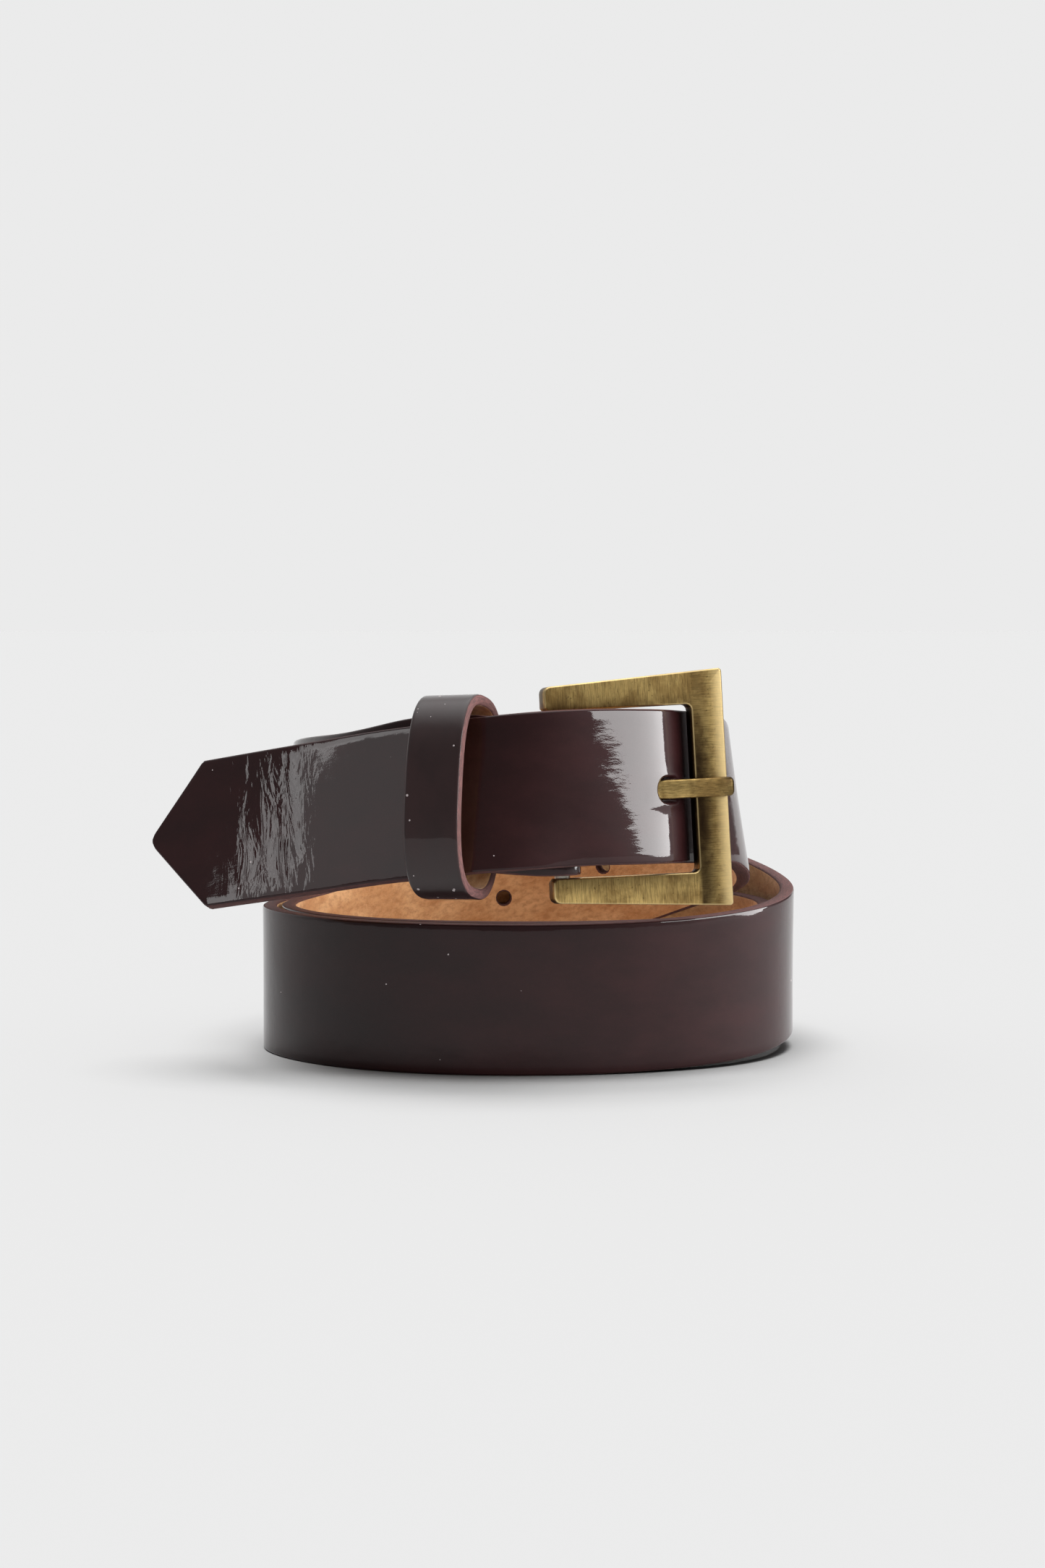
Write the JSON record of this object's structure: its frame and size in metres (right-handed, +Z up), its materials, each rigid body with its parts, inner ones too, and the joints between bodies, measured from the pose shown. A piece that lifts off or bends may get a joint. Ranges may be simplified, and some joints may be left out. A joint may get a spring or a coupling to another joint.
{
  "type": "leather dress belt",
  "caption": "Patent-leather dress belt with a squared prong buckle and a keeper, done up and wound into a coil standing on its edge.",
  "frame": {"origin": "on the table, under the middle of the whole object's box", "axes": "+Z up, -Y towards the viewer, who sees the buckle on the upper tier; +X to the right, along the object's greatest length"},
  "size_m": [0.1522, 0.1382, 0.0938],
  "materials": {
    "patent_leather": "dark oxblood brown, high-gloss patent",
    "keeper_leather": "dark brown, glossy",
    "antique_brass": "brushed antique brass, worn at the corners",
    "steel": "plain satin"
  },
  "bodies": {
    "belt": {"strap": "patent_leather", "rivet_post_buckle_side": "steel", "rivet_cap_buckle_side": "steel", "rivet_post_keeper_side": "steel", "rivet_cap_keeper_side": "steel"},
    "free_end": {"strap_tip": "patent_leather"},
    "keeper": {"keeper_loop": "keeper_leather", "keeper_staple": "steel"},
    "buckle": {"buckle_frame": "antique_brass", "heel_bar": "steel"},
    "prong": {"prong": "antique_brass"}
  },
  "joints": [
    {"name": "tip_flex", "type": "hinge", "parent": "belt", "child": "free_end", "pos_m": [-0.02482, -0.05259, 0.06285], "axis": [-0.0721, 0.2982, 0.9518], "range_deg": [-3, 25], "stiffness_Nm_per_rad": 0.05},
    {"name": "keeper_slide", "type": "slide", "parent": "belt", "child": "keeper", "axis": [0.9524, -0.2723, 0.1368], "range_m": [-0.003, 0.003]},
    {"name": "frame_rock", "type": "hinge", "parent": "belt", "child": "buckle", "pos_m": [0.0176, -0.05083, 0.0654], "axis": [0.0531, -0.0739, -0.9959], "range_deg": [-1, 0]},
    {"name": "prong_lift", "type": "hinge", "parent": "belt", "child": "prong", "pos_m": [0.0176, -0.05083, 0.0654], "axis": [0.0531, -0.0739, -0.9959], "range_deg": [0, 2.5]}
  ]
}
